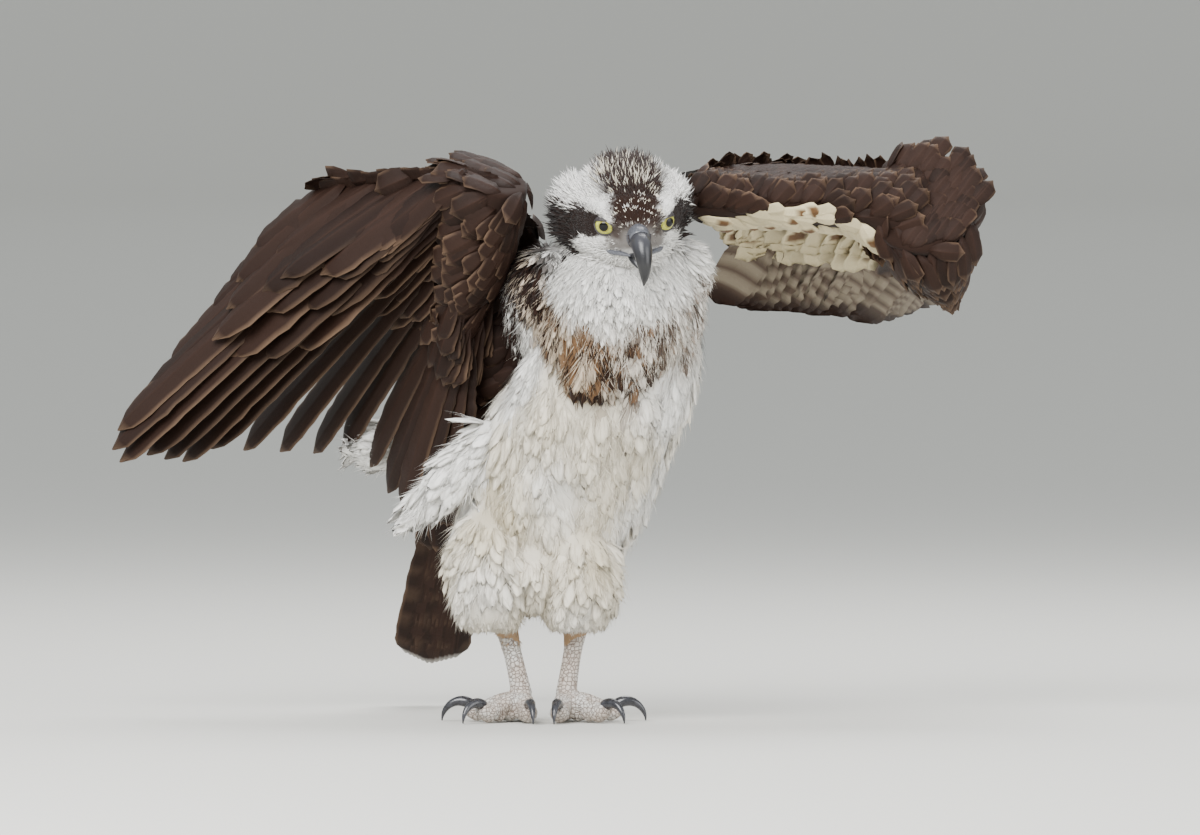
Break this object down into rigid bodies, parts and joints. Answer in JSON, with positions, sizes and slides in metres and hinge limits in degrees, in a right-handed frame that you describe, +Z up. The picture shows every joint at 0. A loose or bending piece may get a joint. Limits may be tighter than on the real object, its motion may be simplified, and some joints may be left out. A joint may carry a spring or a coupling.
{
  "type": "osprey",
  "caption": "Life-size osprey standing with both wings half open: white body, barred breast band, dark brown wings and tail, hooked bill and long claws.",
  "frame": {"origin": "on the ground, under the middle of the whole bird", "axes": "+Z up; the bird faces -Y; +X is the bird's left"},
  "size_m": [0.666, 0.5339, 0.4316],
  "materials": {
    "white_plumage": "soft matte feathers",
    "brown_plumage": "dark brown feathers with paler edges",
    "iris": "wet glossy yellow",
    "bill_horn": "smooth blue-black horn",
    "leg_skin": "rough pale grey scales",
    "claw_horn": "polished slate-black horn"
  },
  "bodies": {
    "root": {"head": "white_plumage", "neck": "white_plumage", "torso": "white_plumage", "eye_left": "iris", "eye_right": "iris", "bill_upper": "bill_horn", "bill_lower": "bill_horn", "thigh_left": "white_plumage", "shin_left": "leg_skin", "foot_left": "leg_skin", "claw_inner_left": "claw_horn", "claw_middle_left": "claw_horn", "claw_outer_left": "claw_horn", "claw_hind_left": "claw_horn", "thigh_right": "white_plumage", "shin_right": "leg_skin", "foot_right": "leg_skin", "claw_inner_right": "claw_horn", "claw_middle_right": "claw_horn", "claw_outer_right": "claw_horn", "claw_hind_right": "claw_horn", "tail": "brown_plumage", "wing_arm_right": "brown_plumage", "wing_hand_right": "brown_plumage", "wing_arm_left": "brown_plumage", "wing_hand_left": "brown_plumage"}
  },
  "joints": []
}
